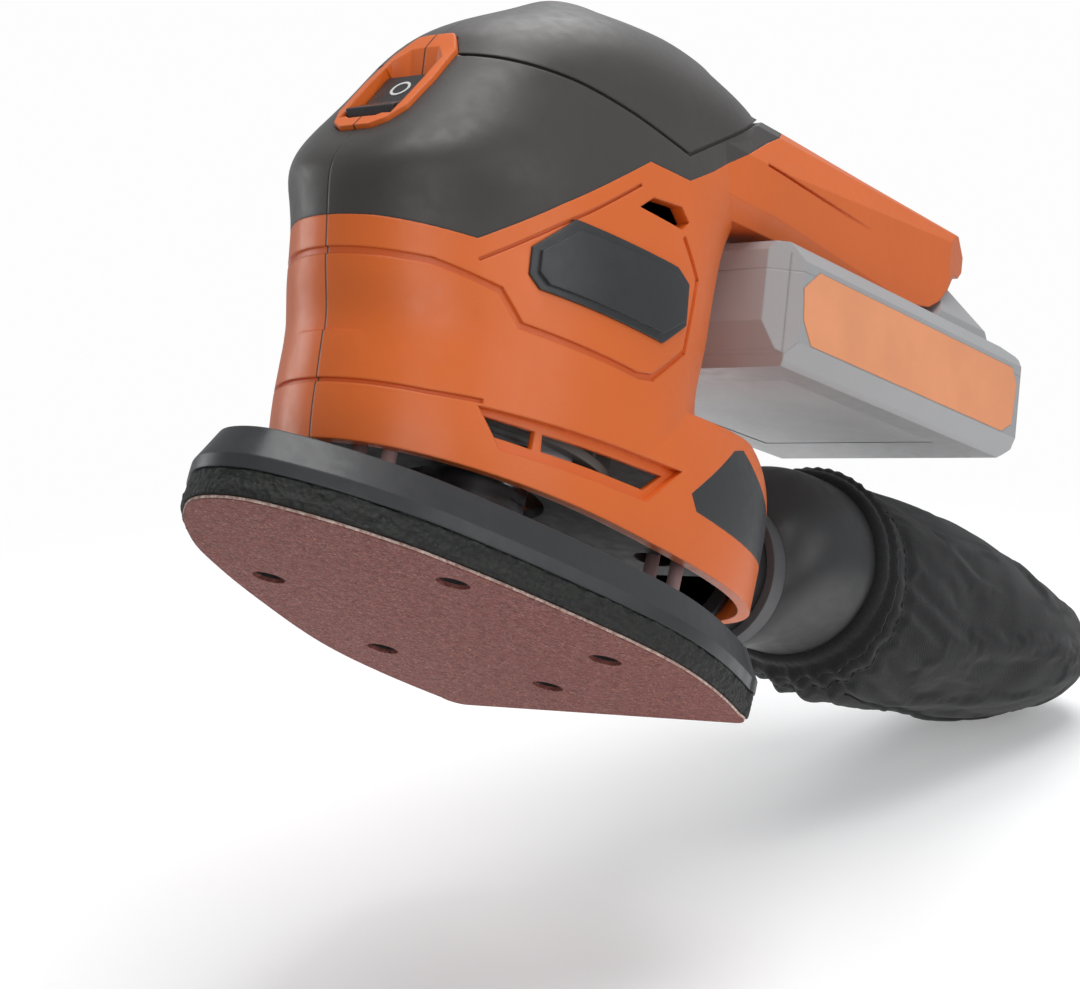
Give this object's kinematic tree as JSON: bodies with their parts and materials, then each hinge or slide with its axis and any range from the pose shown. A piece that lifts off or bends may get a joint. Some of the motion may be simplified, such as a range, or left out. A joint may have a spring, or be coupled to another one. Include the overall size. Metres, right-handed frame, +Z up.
{
  "type": "orbital detail sander",
  "caption": "Cordless palm orbital sander with an iron-shaped pad, a rocker switch, a slide-on battery under a rear arm, and a pull-off dust bag.",
  "frame": {"origin": "on the sanding face, on the centre line, 66.5 mm ahead of the pad's rear edge", "axes": "+Z up out of the pad, -X to the nose, +X to the battery and dust bag, -Y the operator's left"},
  "size_m": [0.3321, 0.092, 0.1501],
  "materials": {
    "orange_shell": "fine satin moulded plastic",
    "dark_grip": "satin dark moulded plastic",
    "dark_plate": "satin dark moulded plastic",
    "black_plastic": "moulded plastic",
    "rocker_plastic": "semi gloss plastic",
    "white_print": "print",
    "foam": "closed cell foam",
    "hook_fabric": "hook layer",
    "abrasive": "coated abrasive paper",
    "leg_rubber": "flexible plastic legs",
    "steel": "machined steel",
    "zinc": "plated steel can",
    "magnet": "ferrite magnet",
    "brass": "brass",
    "nylon": "nylon",
    "carbon": "carbon brush",
    "board": "circuit board",
    "pale_plastic": "pale grey moulded plastic",
    "pale_label": "pale orange label",
    "pale_sticker": "plain sticker",
    "cell_wrap": "wrapped cell",
    "adapter_plastic": "smooth dark plastic",
    "collar_plastic": "dark grey plastic",
    "bag_fabric": "woven black twill"
  },
  "bodies": {
    "housing": {"housing_left": "orange_shell", "housing_right": "orange_shell", "grip_cover_left": "dark_grip", "grip_cover_right": "dark_grip", "switch_bezel": "orange_shell", "name_plates": "dark_plate", "corner_badges": "dark_plate", "housing_screws": "steel", "base_plate": "black_plastic", "motor_plate": "black_plastic", "motor_screws": "steel", "motor_can": "zinc", "motor_magnets": "magnet", "motor_bushes": "brass", "motor_end_cap": "black_plastic", "motor_tabs": "brass", "motor_brushes": "carbon", "switch_body": "black_plastic", "switch_tabs": "brass", "terminal_block": "black_plastic", "terminal_blades": "brass", "control_board": "board", "board_parts": "black_plastic", "exhaust_spout": "black_plastic"},
    "rotor": {"motor_shaft": "steel", "armature": "steel", "commutator": "brass", "fan": "nylon", "counterweight": "steel", "eccentric_hub": "steel"},
    "pad": {"pad_plate": "dark_plate", "foam_pad": "foam", "hook_layer": "hook_fabric", "sanding_sheet": "abrasive", "leg_screws": "steel", "pad_legs": "leg_rubber", "eccentric_bearing": "steel"},
    "rocker": {"rocker": "rocker_plastic", "off_mark": "white_print"},
    "battery": {"battery_case_lower": "pale_plastic", "battery_case_upper": "pale_plastic", "battery_labels": "pale_label", "battery_sticker": "pale_sticker", "battery_rail": "pale_plastic", "battery_cells": "cell_wrap", "battery_clips": "brass", "button_spring": "steel"},
    "button": {"release_button": "pale_plastic"},
    "dust": {"adapter_collar": "collar_plastic", "dust_adapter": "adapter_plastic", "bag_hem": "bag_fabric", "dust_bag": "bag_fabric"}
  },
  "joints": [
    {"name": "motor_spin", "type": "hinge", "parent": "housing", "child": "rotor", "pos_m": [0.008, 0, 0.06], "axis": [0, 0, 1], "continuous": true},
    {"name": "pad_orbit", "type": "hinge", "parent": "rotor", "child": "pad", "pos_m": [0.0089, 0, 0.018], "axis": [0, 0, 1], "continuous": true, "deforming": ["pad_legs"]},
    {"name": "switch_tilt", "type": "hinge", "parent": "housing", "child": "rocker", "pos_m": [-0.04178, 0, 0.08987], "axis": [0, -1, 0], "range_deg": [0, 14]},
    {"name": "battery_slide", "type": "slide", "parent": "housing", "child": "battery", "axis": [0.9816, 0, 0.1908], "range_m": [0, 0.1]},
    {"name": "release_press", "type": "slide", "parent": "battery", "child": "button", "axis": [0.1908, 0, -0.9816], "range_m": [0, 0.002], "stiffness_N_per_m": 400, "springref_m": -0.003, "deforming": ["button_spring"]},
    {"name": "dust_pull", "type": "slide", "parent": "housing", "child": "dust", "axis": [0.9816, 0, 0.1908], "range_m": [0, 0.03]}
  ],
  "couplings": [
    {"joint": "pad_orbit", "follows": "motor_spin", "ratio": -1}
  ]
}
